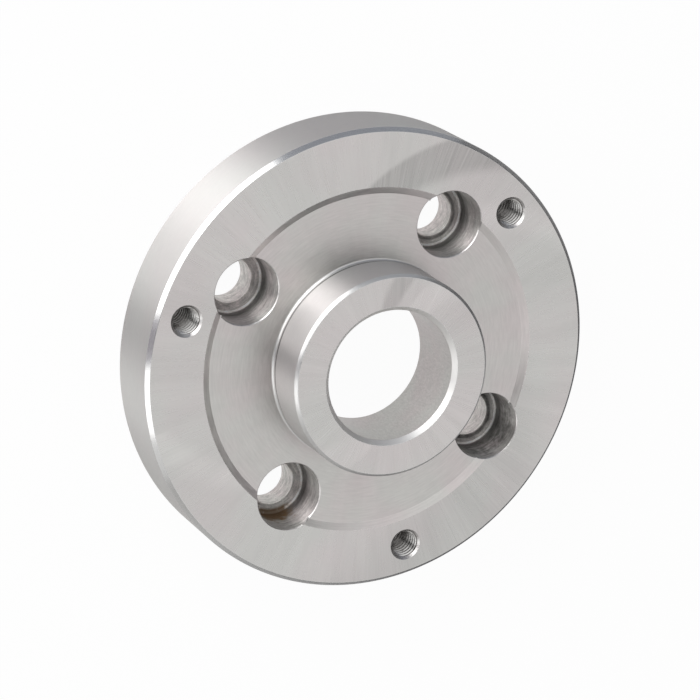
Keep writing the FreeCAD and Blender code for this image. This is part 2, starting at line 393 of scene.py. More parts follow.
def thread_cutter(sizes, centre):
    """A tap: one thread profile, wound up through the plate and trimmed past both faces."""
    low = -PAST
    high = sizes.face_level + PAST
    turns = math.ceil((high - low) / sizes.thread_pitch) + 2
    tap = draw_chain("thread_cutter", thread_section(sizes))
    bpy.ops.object.mode_set(mode="OBJECT")
    helix = tap.modifiers.new("helix", "SCREW")
    helix.axis = "Z"
    helix.angle = math.tau
    helix.screw_offset = sizes.thread_pitch
    helix.iterations = turns
    helix.steps = THREAD_STEPS
    helix.render_steps = THREAD_STEPS
    bpy.ops.object.modifier_apply(modifier=helix.name)
    bpy.ops.object.mode_set(mode="EDIT")
    weld_and_face_outwards()
    bpy.ops.transform.translate(value=(0.0, 0.0, low - 1.37 * sizes.thread_pitch))
    trim(low, True)
    trim(high, False)
    weld_and_face_outwards()
    turn_aside((0.0, 0.0))
    bpy.ops.transform.translate(value=(centre[0], centre[1], 0.0))
    bpy.ops.object.mode_set(mode="OBJECT")
    return tap


def countersink_cutter(sizes, centre, level, outwards):
    """A right-angled cone that opens a tapped hole at one face."""
    reach = sizes.countersink_radius
    section = (
        (0.0, level - outwards * reach),
        (reach + PAST, level + outwards * PAST),
        (0.0, level + outwards * PAST),
    )
    return spun("countersink_cutter", section, HOLE_STEPS, centre)


def driver_pocket_cutter(sizes):
    """A blind pocket in the back face."""
    section = (
        (0.0, sizes.driver_depth),
        (sizes.driver_radius, sizes.driver_depth),
        (sizes.driver_radius, sizes.driver_chamfer),
        (sizes.driver_radius + sizes.driver_chamfer + PAST, -PAST),
        (0.0, -PAST),
    )
    return spun("driver_pocket_cutter", section, HOLE_STEPS, driver_place(sizes))


def drill_and_tap(plate, sizes):
    """Make every hole, then break the edges of their mouths."""
    for centre in screw_places(sizes):
        cut(plate, screw_hole_cutter(sizes, centre))
    for centre in tapped_places(sizes):
        cut(plate, thread_cutter(sizes, centre))
        cut(plate, countersink_cutter(sizes, centre, sizes.face_level, 1))
        cut(plate, countersink_cutter(sizes, centre, 0.0, -1))
    cut(plate, driver_pocket_cutter(sizes))
    break_pocket_mouths(plate, sizes)


def break_pocket_mouths(plate, sizes):
    """Chamfer the edge where each screw's pocket opens on the recess and the outer face."""
    lowest = sizes.face_level - sizes.recess_depth - NEAR
    centres = screw_places(sizes)

    def at_mouth(points):
        if any(point.z <= lowest for point in points):
            return False
        if math.dist(points[0].xy, points[1].xy) < NEAR:
            return False
        return any(
            all(abs(math.dist(point.xy, centre) - sizes.pocket_radius) < NEAR * 2
                for point in points)
            for centre in centres
        )

    bevel_where(plate, at_mouth, sizes.mouth_chamfer, 1)


# Shader tools

def link_or_set(tree, socket, value):
    """Give one input a link or a value."""
    if isinstance(value, bpy.types.NodeSocket):
        tree.links.new(value, socket)
    else:
        socket.default_value = value


def put(tree, kind, inputs=None, **settings):
    """Add a node, set it up, and give each named input a value or a link."""
    node = tree.nodes.new(kind)
    for name, value in settings.items():
        setattr(node, name, value)
    for name, value in (inputs or {}).items():
        link_or_set(tree, node.inputs[name], value)
    return node


def calc(tree, operation, first, second=0.0):
    """A Math node's result."""
    node = put(tree, "ShaderNodeMath", {0: first, 1: second}, operation=operation)
    return node.outputs[0]


def times(tree, first, *others):
    """The product of values, each a number or a link."""
    for other in others:
        first = calc(tree, "MULTIPLY", first, other)
    return first


def object_place(tree):
    """The place on the piece, in metres."""
    return put(tree, "ShaderNodeTexCoord").outputs["Object"]


def axes_of(tree):
    """The place on the piece as its X, Y and Z."""
    return put(tree, "ShaderNodeSeparateXYZ", {"Vector": object_place(tree)}).outputs


def new_group(name, inputs, outputs):
    """Start a shader node group with number inputs, each with its default, and outputs."""
    tree = bpy.data.node_groups.new(name, "ShaderNodeTree")
    for label, kind, default in inputs:
        socket = tree.interface.new_socket(label, in_out="INPUT", socket_type=kind)
        socket.default_value = default
    for label, kind in outputs:
        tree.interface.new_socket(label, in_out="OUTPUT", socket_type=kind)
    entry = tree.nodes.new("NodeGroupInput")
    leave = tree.nodes.new("NodeGroupOutput")
    return tree, entry.outputs, leave.inputs


def use_group(tree, group, **inputs):
    """Place a shader node group, with input names written with underscores for spaces."""
    node = tree.nodes.new("ShaderNodeGroup")
    node.node_tree = group
    for name, value in inputs.items():
        link_or_set(tree, node.inputs[name.replace("_", " ")], value)
    return node.outputs


NUMBER = "NodeSocketFloat"
COLOUR = "NodeSocketColor"


def build_axis_group():
    """Radius, direction and level about the main axis, or about four mirrored holes' axes."""
    tree, given, result = new_group(
        "place_about_axis",
        [("Offset", NUMBER, 0.0), ("Mirrored", NUMBER, 0.0)],
        [("Radius", NUMBER), ("Cosine", NUMBER), ("Sine", NUMBER), ("Level", NUMBER)],
    )
    axes = axes_of(tree)
    local = []
    for axis in ("X", "Y"):
        near_hole = calc(tree, "SUBTRACT", calc(tree, "ABSOLUTE", axes[axis]), given["Offset"])
        shift = calc(tree, "SUBTRACT", near_hole, axes[axis])
        local.append(calc(tree, "ADD", axes[axis], times(tree, shift, given["Mirrored"])))
    squares = [times(tree, value, value) for value in local]
    radius = calc(tree, "SQRT", calc(tree, "ADD", *squares))
    tree.links.new(radius, result["Radius"])
    tree.links.new(calc(tree, "DIVIDE", local[0], radius), result["Cosine"])
    tree.links.new(calc(tree, "DIVIDE", local[1], radius), result["Sine"])
    tree.links.new(axes["Z"], result["Level"])
    return tree


def build_tool_mark_group(axis_group):
    """Fine rings that a turning tool or drill leaves, which wander a little round the axis."""
    tree, given, result = new_group(
        "tool_marks",
        [("Offset", NUMBER, 0.0), ("Mirrored", NUMBER, 0.0), ("Lines", NUMBER, 3000.0),
         ("Wander", NUMBER, 2.0)],
        [("Height", NUMBER)],
    )
    axis = use_group(tree, axis_group, Offset=given["Offset"], Mirrored=given["Mirrored"])
    place = put(tree, "ShaderNodeCombineXYZ", {
        "X": times(tree, axis["Radius"], given["Lines"]),
        "Y": times(tree, axis["Level"], given["Lines"]),
        "Z": times(tree, axis["Cosine"], given["Wander"]),
    })
    noise = put(tree, "ShaderNodeTexNoise", {
        "Vector": place.outputs[0], "W": times(tree, axis["Sine"], given["Wander"]),
        "Scale": 1.0, "Detail": 2.0, "Roughness": 0.6,
    }, noise_dimensions="4D")
    tree.links.new(noise.outputs[0], result["Height"])
    return tree


def build_streak_group(axis_group):
    """Streaks that stand out like rays round the axis, as on a ground or faced ring."""
    tree, given, result = new_group(
        "ray_streaks",
        [("Rays", NUMBER, 20.0), ("Breaks", NUMBER, 40.0), ("Seed", NUMBER, 0.0)],
        [("Tone", NUMBER)],
    )
    axis = use_group(tree, axis_group)
    place = put(tree, "ShaderNodeCombineXYZ", {
        "X": times(tree, axis["Cosine"], given["Rays"]),
        "Y": times(tree, axis["Sine"], given["Rays"]),
        "Z": times(tree, axis["Radius"], given["Breaks"]),
    })
    noise = put(tree, "ShaderNodeTexNoise", {
        "Vector": place.outputs[0], "W": given["Seed"],
        "Scale": 1.0, "Detail": 4.0, "Roughness": 0.65,
    }, noise_dimensions="4D")
    tree.links.new(noise.outputs[0], result["Tone"])
    return tree


def build_painted_fan_group(axis_group):
    """A fan round the axis with two soft edges: the mask of a painted reflection."""
    tree, given, result = new_group(
        "ray_fan",
        [("Start", NUMBER, 0.9), ("End", NUMBER, 1.3), ("Start blur", NUMBER, 0.2),
         ("End blur", NUMBER, 0.03), ("Lean", NUMBER, 0.0), ("Middle", NUMBER, 0.05)],
        [("Mask", NUMBER)],
    )
    axis = use_group(tree, axis_group)
    turn = calc(tree, "ARCTAN2", axis["Sine"], axis["Cosine"])
    outwards = calc(tree, "SUBTRACT", axis["Radius"], given["Middle"])
    turn = calc(tree, "ADD", turn, times(tree, outwards, given["Lean"]))
    after = calc(tree, "DIVIDE", calc(tree, "SUBTRACT", turn, given["Start"]), given["Start blur"])
    before = calc(tree, "DIVIDE", calc(tree, "SUBTRACT", given["End"], turn), given["End blur"])
    edges = [
        put(tree, "ShaderNodeMapRange", {"Value": value}, interpolation_type="SMOOTHSTEP")
        for value in (after, before)
    ]
    mask = times(tree, edges[0].outputs[0], edges[1].outputs[0])
    tree.links.new(mask, result["Mask"])
    return tree


def build_tint_group():
    """Bare steel's faint clouds: a little warmer here, a little greener there, never even."""
    tree, given, result = new_group(
        "steel_clouds",
        [("Steel", COLOUR, (0.5, 0.5, 0.5, 1.0)), ("Cloud size", NUMBER, 45.0),
         ("Strength", NUMBER, 0.5)],
        [("Colour", COLOUR)],
    )
    clouds = put(tree, "ShaderNodeTexNoise", {
        "Vector": object_place(tree), "Scale": given["Cloud size"], "Detail": 3.0, "Roughness": 0.5,
    })
    ramp = put(tree, "ShaderNodeValToRGB", {"Fac": clouds.outputs[0]})
    stops = ramp.color_ramp.elements
    stops[0].position = 0.38
    stops[0].color = (1.0, 0.938, 0.938, 1.0)
    stops[1].position = 0.62
    stops[1].color = (0.985, 0.978, 0.955, 1.0)
    colour = mix_colours(
        tree, given["Strength"], given["Steel"], ramp.outputs["Color"], "MULTIPLY"
    )
    tree.links.new(colour, result["Colour"])
    return tree


def mix_colours(tree, factor, first, second, blend_type="MIX"):
    """Mix two colours, each a value or a link."""
    mix = put(tree, "ShaderNodeMix", data_type="RGBA", blend_type=blend_type)
    wanted = {"A": first, "B": second}
    for socket in mix.inputs:
        if socket.type == "VALUE" and socket.name == "Factor" and socket.enabled:
            link_or_set(tree, socket, factor)
        if socket.type == "RGBA":
            link_or_set(tree, socket, wanted[socket.name])
    return next(socket for socket in mix.outputs if socket.type == "RGBA")


def spread(tree, value, low, high):
    """Stretch a noise's middle range over low to high."""
    node = put(tree, "ShaderNodeMapRange", {
        "Value": value, "From Min": 0.3, "From Max": 0.7, "To Min": low, "To Max": high,
    })
    return node.outputs[0]


# Finishes

# Painted reflections on the ground faces, as dark and bright fans round the axis: start and end
# bearing and their blurs in degrees, and how much darker each is, or brighter where it is negative
OUTER_PAINTED_FANS = (
    (53.0, 76.0, 8.0, 3.0, 0.24),
    (24.0, 44.0, 9.0, 9.0, -0.08),
    (-172.0, -150.0, 9.0, 12.0, -0.08),
    (-112.0, -18.0, 34.0, 26.0, 0.11),
)
HUB_PAINTED_FANS = (
    (68.0, 87.0, 5.0, 6.0, 0.19),
    (36.0, 62.0, 10.0, 4.0, -0.09),
    (-148.0, -120.0, 9.0, 6.0, -0.07),
)
# Each ring of painted fans: its radii, and how many degrees to the millimetre its fans lean, beyond
# a middle radius
PAINTED_FAN_RINGS = (
    (OUTER_PAINTED_FANS, 45.0 * MM, 70.0 * MM, 1.5, 50.0 * MM),
    (HUB_PAINTED_FANS, 10.0 * MM, 28.0 * MM, 1.3, 22.0 * MM),
)
# The side of the recess where a painted highlight makes its sloping wall paler
PAINTED_HIGHLIGHT_SIDE = (-0.26, -0.97)
# A turn of the shader's grooves, as a share of a full turn
QUARTER_TURN = 0.25


def rgba(colour):
    """A colour with full alpha."""
    return (colour[0], colour[1], colour[2], 1.0)


class Finishes:
    """Makes the plate's materials from shared groups."""

    def __init__(self, colours):
        self.axis = build_axis_group()
        self.marks = build_tool_mark_group(self.axis)
        self.streaks = build_streak_group(self.axis)
        self.painted_fans = build_painted_fan_group(self.axis)
        self.clouds = build_tint_group()
        self.colours = colours

    def start(self, name):
        """A metal with a node tree to work in."""
        material = bpy.data.materials.new(name)
        material.use_nodes = True
        tree = material.node_tree
        shader = tree.nodes["Principled BSDF"]
        shader.inputs["Metallic"].default_value = 1.0
        return material, tree, shader

    def steel(self, tree, colour, cloud_size, strength):
        """A colour of steel with its faint clouds."""
        clouds = use_group(tree, self.clouds, Steel=rgba(colour), Cloud_size=cloud_size,
                           Strength=strength)
        return clouds["Colour"]

    def rings(self, tree, lines, wander, **around):
        """The height of a tool's rings."""
        return use_group(tree, self.marks, Lines=lines, Wander=wander, **around)["Height"]

    def rays(self, tree, rays, breaks, seed):
        """The tone of streaks that stand out like rays."""
        return use_group(tree, self.streaks, Rays=rays, Breaks=breaks, Seed=seed)["Tone"]

    def shade(self, tree, colour, amount):
        """Multiply a colour by an amount."""
        grey = put(tree, "ShaderNodeCombineColor", {"Red": amount, "Green": amount, "Blue": amount})
        return mix_colours(tree, 1.0, colour, grey.outputs[0], "MULTIPLY")

    def tone_of(self, tree, colour, value, depth):
        """Darken a colour where a pattern is low."""
        return self.shade(tree, colour, spread(tree, value, 1.0 - depth, 1.0))

    def darken(self, tree, colour, mask, depth):
        """Darken a colour by a depth where a mask is 1, or brighten it by a negative one."""
        return self.shade(tree, colour, calc(tree, "SUBTRACT", 1.0, times(tree, mask, depth)))

    def painted_fan_mask(self, tree, start, end, start_blur, end_blur, lean, middle):
        """A painted reflection fan's mask, from its bearings and blurs in degrees."""
        start, end, start_blur, end_blur = map(math.radians, (start, end, start_blur, end_blur))
        painted_fan_mask = use_group(tree, self.painted_fans, Start=start, End=end, Start_blur=start_blur,
                        End_blur=end_blur, Lean=math.radians(lean) / MM, Middle=middle)
        return painted_fan_mask["Mask"]

    def within(self, tree, value, low, high, blur):
        """1 where a value lies between two limits, and 0 beyond a blur outside them."""
        up = put(tree, "ShaderNodeMapRange", {
            "Value": value, "From Min": low - blur, "From Max": low,
        })
        down = put(tree, "ShaderNodeMapRange", {
            "Value": value, "From Min": high, "From Max": high + blur, "To Min": 1.0, "To Max": 0.0,
        })
        return times(tree, up.outputs[0], down.outputs[0])

    def lay_grooves(self, tree, shader, tangent, anisotropy):
        """Point the shader's grooves along a tangent."""
        tree.links.new(tangent.outputs[0], shader.inputs["Tangent"])
        shader.inputs["Anisotropic Rotation"].default_value = QUARTER_TURN
        shader.inputs["Anisotropic"].default_value = anisotropy

    def coat(self, tree, shader, colour, roughness, anisotropy):
        """Give the shader its colour and roughness, and grooves round the main axis."""
        tree.links.new(colour, shader.inputs["Base Color"])
        link_or_set(tree, shader.inputs["Roughness"], roughness)
        tangent = put(tree, "ShaderNodeTangent", direction_type="RADIAL", axis="Z")
        self.lay_grooves(tree, shader, tangent, anisotropy)

    def bump(self, tree, shader, height, distance):
        """Raise the surface by a height pattern."""
        node = put(tree, "ShaderNodeBump", {
            "Height": height, "Distance": distance, "Strength": 1.0,
        })
        tree.links.new(node.outputs[0], shader.inputs["Normal"])

    def ground_face(self):
        """Outer seating face and hub end: ground, with faint rays, and dark and bright fans of
        painted reflection.
        """
        material, tree, shader = self.start("ground_face")
        fine = self.rays(tree, 60.0, 70.0, 4.0)
        colour = self.steel(tree, self.colours.ground, 40.0, 0.8)
        colour = self.tone_of(tree, colour, self.rays(tree, 9.0, 25.0, 1.0), 0.09)
        colour = self.tone_of(tree, colour, fine, 0.05)
        radius = use_group(tree, self.axis)["Radius"]
        lines = spread(tree, self.rays(tree, 95.0, 30.0, 7.0), 0.6, 1.4)
        # Painted reflections: dark and bright fans, broken into lines
        for painted_fans, low, high, lean, middle in PAINTED_FAN_RINGS:
            ring = self.within(tree, radius, low, high, 1.0 * MM)
            for start, end, blur, end_blur, depth in painted_fans:
                painted_fan = self.painted_fan_mask(tree, start, end, blur, end_blur, lean, middle)
                colour = self.darken(tree, colour, times(tree, painted_fan, ring, lines), depth)
        self.coat(tree, shader, colour, spread(tree, fine, 0.25, 0.32), 0.75)
        self.bump(tree, shader, self.rings(tree, 2600.0, 14.0), 0.0012 * MM)
        return material

    def turned_face(self, wall_start, wall_end):
        """Recess: fine turning rings, and a painted highlight that makes one side of its sloping
        wall paler.
        """
        material, tree, shader = self.start("turned_face")
        rings = self.rings(tree, 2100.0, 9.0)
        colour = self.steel(tree, self.colours.turned, 60.0, 1.0)
        colour = self.tone_of(tree, colour, rings, 0.13)
        colour = self.tone_of(tree, colour, self.rays(tree, 7.0, 20.0, 9.0), 0.06)
        axis = use_group(tree, self.axis)
        wall = self.within(tree, axis["Radius"], wall_start, wall_end, 0.1 * MM)
        # Painted highlight on one side of the sloping wall
        x, y = PAINTED_HIGHLIGHT_SIDE
        side = calc(tree, "ADD", times(tree, axis["Cosine"], x), times(tree, axis["Sine"], y))
        highlight_side = self.within(tree, side, 0.0, 1.0, 0.6)
        colour = self.darken(tree, colour, times(tree, wall, highlight_side), -0.2)
        self.coat(tree, shader, colour, spread(tree, rings, 0.32, 0.42), 0.4)
        self.bump(tree, shader, rings, 0.0022 * MM)
        return material

    def turned_wall(self, name, lines, wander, depth, roughness, anisotropy, groove=None):
        """Rim or hub: turned, so light spreads up and down it. A groove is darkened with painted
        shade.
        """
        material, tree, shader = self.start(name)
        rings = self.rings(tree, lines, wander)
        colour = self.steel(tree, self.colours.turned, 35.0, 0.5)
        colour = self.tone_of(tree, colour, rings, depth)
        if groove:
            level = use_group(tree, self.axis)["Level"]
            # Painted shade in the hub's relief groove
            painted_shade = self.within(tree, level, groove[0], groove[1], 0.1 * MM)
            colour = self.darken(tree, colour, painted_shade, 0.6)
        self.coat(tree, shader, colour, roughness, anisotropy)
        self.bump(tree, shader, rings, 0.0012 * MM)
        return material

    def turned_edge(self, name, colour, roughness, anisotropy):
        """Chamfers: one clean pass of the tool, the brightest surfaces."""
        material, tree, shader = self.start(name)
        colour = self.tone_of(tree, rgba(colour), self.rings(tree, 5000.0, 6.0), 0.06)
        self.coat(tree, shader, colour, roughness, anisotropy)
        return material

    def hole_edge(self):
        """Mouths and countersinks of the holes: cut last, clean and bright."""
        material, tree, shader = self.start("hole_edge")
        nicks = put(tree, "ShaderNodeTexNoise", {
            "Vector": object_place(tree), "Scale": 1100.0, "Detail": 3.0,
        }).outputs[0]
        colour = self.steel(tree, self.colours.ground, 300.0, 0.6)
        colour = self.tone_of(tree, colour, nicks, 0.3)
        tree.links.new(colour, shader.inputs["Base Color"])
        tree.links.new(spread(tree, nicks, 0.3, 0.45), shader.inputs["Roughness"])
        self.bump(tree, shader, nicks, 0.008 * MM)
        return material

    def bored_wall(self):
        """Bore: a rougher cut with short torn marks."""
        material, tree, shader = self.start("bored_wall")
        rings = self.rings(tree, 2600.0, 60.0)
        colour = self.steel(tree, self.colours.bored, 70.0, 1.0)
        colour = self.tone_of(tree, colour, rings, 0.2)
        colour = self.tone_of(tree, colour, self.rings(tree, 900.0, 34.0), 0.16)
        self.coat(tree, shader, colour, spread(tree, rings, 0.4, 0.5), 0.5)
        self.bump(tree, shader, rings, 0.01 * MM)
        return material

    def drilled(self, offset, seat, shank_radius, pocket_radius, stain, shadowed_pocket):
        """Screw holes, seats and pockets: torn rings about each hole's own axis."""
        material, tree, shader = self.start("drilled_hole")
        axis = use_group(tree, self.axis, Offset=offset, Mirrored=1.0)
        radius, level = axis["Radius"], axis["Level"]
        side = axes_of(tree)
        coarse = self.rings(tree, 1500.0, 2.5, Offset=offset, Mirrored=1.0)
        fine = self.rings(tree, 3600.0, 14.0, Offset=offset, Mirrored=1.0)
        colour = self.steel(tree, self.colours.drilled, 120.0, 1.0)
        colour = self.tone_of(tree, colour, coarse, 0.42)
        colour = self.tone_of(tree, colour, fine, 0.34)

        # The seat, brightened with painted light, with a darker ring round the shank hole that is
        # strongest in the two pockets on the +X side, and a painted highlight on its corner
        on_seat = self.within(tree, level, seat - 0.6 * MM, seat + 0.3 * MM, 0.15 * MM)
        rim = shank_radius + 0.45 * MM
        inner = self.within(tree, radius, rim, rim + 0.5 * MM, 0.35 * MM)
        plus_x_side = self.within(tree, side["X"], 0.0, 1.0, 1.0 * MM)
        plus_x_side = calc(tree, "ADD", 0.12, times(tree, plus_x_side, 0.88))
        corner = self.within(tree, radius, pocket_radius - 0.75 * MM,
                             pocket_radius - 0.3 * MM, 0.15 * MM)
        # Painted light on the whole seat
        colour = self.darken(tree, colour, on_seat, -0.4)
        colour = self.darken(tree, colour, times(tree, on_seat, times(tree, inner, plus_x_side)), 0.55)
        # Painted highlight on the seat's corner
        colour = self.darken(tree, colour, times(tree, on_seat, corner), -0.8)

        # Painted shade at the foot of the pocket's wall, and painted light on the shank hole under
        # the seat
        foot_shade = self.within(tree, level, seat + 0.4 * MM, seat + 1.8 * MM, 3.5 * MM)
        wall = self.within(tree, radius, pocket_radius - 0.2 * MM, 1.0, 0.2 * MM)
        shank = self.within(tree, level, -PAST, seat - 0.4 * MM, 0.2 * MM)
        colour = self.darken(tree, colour, times(tree, foot_shade, wall), 0.55)
        # Painted light on the shank hole
        colour = self.darken(tree, colour, shank, -0.5)

        # A painted shadow over one pocket, and the stain in another
        pocket_shadow = self.stain_at(tree, shadowed_pocket, pocket_radius, 0.8 * MM)
        pocket_shadow = times(tree, pocket_shadow, calc(tree, "SUBTRACT", 1.0, shank))
        # Painted shadow over the whole pocket, but for its shank hole
        colour = self.darken(tree, colour, pocket_shadow, 0.68)
        outside = self.within(tree, radius, pocket_radius - 1.3 * MM, 1.0, 0.6 * MM)
        dried = times(tree, self.stain_at(tree, stain, 4.6 * MM, 1.6 * MM), outside)
        colour = mix_colours(tree, dried, colour, rgba(self.colours.stain))
        tree.links.new(colour, shader.inputs["Base Color"])
        rough = calc(tree, "SUBTRACT", spread(tree, fine, 0.56, 0.70), times(tree, shank, 0.2))
        tree.links.new(rough, shader.inputs["Roughness"])
        around = put(tree, "ShaderNodeCombineXYZ", {
            "X": times(tree, calc(tree, "SIGN", side["Y"]), axis["Sine"]),
            "Y": times(tree, calc(tree, "SIGN", side["X"]), times(tree, axis["Cosine"], -1.0)),
        })
        self.lay_grooves(tree, shader, around, 0.9)
        self.bump(tree, shader, calc(tree, "ADD", coarse, times(tree, fine, 0.35)), 0.09 * MM)
        return material

    def stain_at(self, tree, place, radius, blur):
        """A ragged patch round a place, 1 in its middle."""
        here = object_place(tree)
        away = put(tree, "ShaderNodeVectorMath", {0: here, 1: place}, operation="DISTANCE")
        edge = put(tree, "ShaderNodeTexNoise", {"Vector": here, "Scale": 700.0, "Detail": 4.0})
        ragged = calc(tree, "ADD", away.outputs["Value"], spread(tree, edge.outputs[0], -blur, blur))
        mask = put(tree, "ShaderNodeMapRange", {
            "Value": ragged, "From Min": radius - blur, "From Max": radius + blur,
            "To Min": 0.85, "To Max": 0.0,
        })
        return mask.outputs[0]

    def tapped(self, name, mouth, dark_at_mouth):
        """Threads: painted shade that grows darker further down the hole, broken by random specks.
        """
        material, tree, shader = self.start(name)
        level = use_group(tree, self.axis)["Level"]
        depth = put(tree, "ShaderNodeMapRange", {
            "Value": level, "From Min": mouth - 1.2 * MM, "From Max": mouth - 8.0 * MM,
            "To Min": dark_at_mouth, "To Max": max(dark_at_mouth, 0.8),
        })
        specks = put(tree, "ShaderNodeTexNoise", {
            "Vector": object_place(tree), "Scale": 900.0, "Detail": 3.0,
        }).outputs[0]
        # Painted shade deepening down the hole, mixed with random specks
        painted_shade = calc(tree, "MAXIMUM", spread(tree, specks, -0.6, 0.6), depth.outputs[0])
        colour = mix_colours(tree, painted_shade, rgba(self.colours.drilled), rgba(self.colours.thread_shade))
        tree.links.new(colour, shader.inputs["Base Color"])
        tree.links.new(spread(tree, specks, 0.2, 0.36), shader.inputs["Roughness"])
        self.bump(tree, shader, specks, 0.01 * MM)
        return material


def assign_finishes(plate, sizes, colours):
    """Give each surface of the plate its own finish, by its place and slope."""
    finishes = Finishes(colours)
    hole_offset = sizes.screw_circle * math.cos(sizes.first_screw)
    hub_groove = sizes.face_level - sizes.recess_depth + sizes.hub_root_radius + 0.2 * MM
    recess_mouth = sizes.rim_radius - sizes.face_width
    for material in (
        finishes.ground_face(),
        finishes.turned_face(recess_mouth - sizes.recess_wall_run, recess_mouth),
        finishes.turned_wall("turned_wall", 3200.0, 24.0, 0.05, 0.58, 0.95),
        # The hub's relief groove gets painted shade
        finishes.turned_wall("turned_hub", 3000.0, 18.0, 0.06, 0.49, 0.92,
                             (hub_groove, hub_groove + 1.0 * MM)),
        finishes.turned_edge("rim_edge", colours.ground, 0.22, 0.7),
        finishes.turned_edge("hub_edge", colours.ground, 0.36, 0.7),
        finishes.turned_edge("bore_edge", colours.drilled, 0.5, 0.2),
        finishes.hole_edge(), finishes.bored_wall(),
        finishes.tapped("thread_crest", sizes.face_level, 0.05),
        # The thread roots carry painted shade even at the mouth
        finishes.tapped("thread_root", sizes.face_level, 0.85),
        finishes.drilled(hole_offset, sizes.face_level - sizes.pocket_depth,
                         sizes.screw_radius, sizes.pocket_radius, stain_place(sizes),
                         shadowed_pocket_place(sizes)),
    ):
        plate.data.materials.append(material)
    numbers = {material.name: index for index, material in enumerate(plate.data.materials)}
    for face in plate.data.polygons:
        face.material_index = numbers[finish_of(face, sizes)]


def stain_place(sizes):
    """Where oil has dried at the foot of one screw's pocket."""
    x, y = screw_places(sizes)[2]
    out = sizes.pocket_radius - 0.4 * MM
    return (x - 0.22 * out, y - 0.97 * out, sizes.face_level - sizes.pocket_depth + 0.5 * MM)


def shadowed_pocket_place(sizes):
    """The middle of the screw's pocket that gets a painted shadow."""
    x, y = screw_places(sizes)[3]
    return (x, y, sizes.face_level - sizes.pocket_depth / 2)


def finish_of(face, sizes):
    """Name the finish of one face."""
    centre = face.center
    radius = math.hypot(centre.x, centre.y)
    upwards = face.normal.z
    recess_mouth = sizes.rim_radius - sizes.face_width
    reach = sizes.countersink_radius + NEAR
    for place in tapped_places(sizes):
        out = math.dist(centre.xy, place)
        depth = min(sizes.face_level - centre.z, centre.z)
        if out < reach and abs(out + depth - sizes.countersink_radius) < 3 * NEAR:
            return "hole_edge"
        if out < reach and depth > NEAR:
            half_way = (sizes.tap_radius + sizes.thread_radius) / 2
            return "thread_root" if out > half_way else "thread_crest"
    for place in screw_places(sizes):
        out = math.dist(centre.xy, place)
        on_mouth = sizes.pocket_radius + NEAR < out < sizes.pocket_radius + sizes.mouth_chamfer
        if on_mouth and 0.15 < upwards < 0.98:
            return "hole_edge"
        under_front = centre.z < sizes.face_level - NEAR and abs(upwards) < 0.5
        on_seat = centre.z < sizes.face_level - sizes.pocket_depth + sizes.pocket_corner + NEAR
        if out < sizes.pocket_radius + NEAR and (under_front or on_seat) and upwards > -0.5:
            if centre.z > NEAR:
                return "drilled_hole"
    if math.dist(centre.xy, driver_place(sizes)) < sizes.driver_radius + NEAR and centre.z > NEAR:
        if centre.z < sizes.driver_depth + NEAR:
            return "bored_wall"
    if abs(upwards) > 0.98:
        in_recess = sizes.hub_radius < radius < recess_mouth
        return "turned_face" if in_recess and upwards > 0 else "ground_face"
    if abs(upwards) < 0.3:
        if radius < sizes.bore_radius + sizes.bore_front_chamfer:
            return "bored_wall"
        return "turned_hub" if radius < sizes.hub_radius + sizes.hub_root_radius else "turned_wall"
    if sizes.hub_radius + sizes.hub_root_radius < radius < recess_mouth + NEAR and upwards > 0:
        return "turned_face"
    if radius < sizes.bore_radius + sizes.bore_front_chamfer + NEAR and upwards > 0:
        return "bore_edge"
    return "rim_edge" if radius > sizes.hub_radius + sizes.hub_root_radius else "hub_edge"


def keep_flat_faces_flat(piece):
    """Shade round surfaces smooth, with each normal held by the larger face beside it."""
    activate(piece)
    bpy.ops.object.shade_smooth_by_angle(angle=SMOOTH_ANGLE)
    modifier = piece.modifiers.new("face_normals", "WEIGHTED_NORMAL")
    modifier.keep_sharp = True
    bpy.ops.object.modifier_apply(modifier=modifier.name)


class PLATE_OT_turned_plate(bpy.types.Operator):
    """Turn the plate, drill and tap its holes, and give each surface its finish"""

    bl_idname = "plate.turned_plate"
    bl_label = "Turned plate"

    def execute(self, context):
        sizes = context.scene.plate_sizes
        plate = turned_blank(sizes)
        drill_and_tap(plate, sizes)
        keep_flat_faces_flat(plate)
        assign_finishes(plate, sizes, context.scene.plate_finish)
        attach(plate, BODY)
        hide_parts(NODE)
        return {"FINISHED"}


# The studio

FLOOR_SIZE = 6.0
FLOOR_GAP = 0.2 * MM
# How much of the floor is pure white to the camera and to reflections, against its matt
# surface, and how strongly the white background lights the plate
FLOOR_WHITE = 0.96
FLOOR_MIRRORED = 0.3
WORLD_LIGHT = 0.55
CAMERA_PLACE = Vector((-0.2788, 0.3242, 0.7554))
CAMERA_RIGHT = Vector((0.8945, -0.1769, 0.4100))
CAMERA_UP = Vector((0.3081, 0.9092, -0.2800))
CAMERA_LENS = 167.47
SENSOR = 36.0

# Soft lamps: name, bearing and height in degrees, distance, width and height in metres,
# and brightness, where 1 is the white of the background
LAMPS = (
    ("key_softbox", 127.0, 21.0, 1.0, 1.34, 0.6, 2.5),
    ("key_core", 115.0, 20.0, 0.97, 0.42, 0.5, 3.0),
    ("fill_softbox", 191.0, 24.0, 1.1, 0.44, 0.5, 1.7),
)
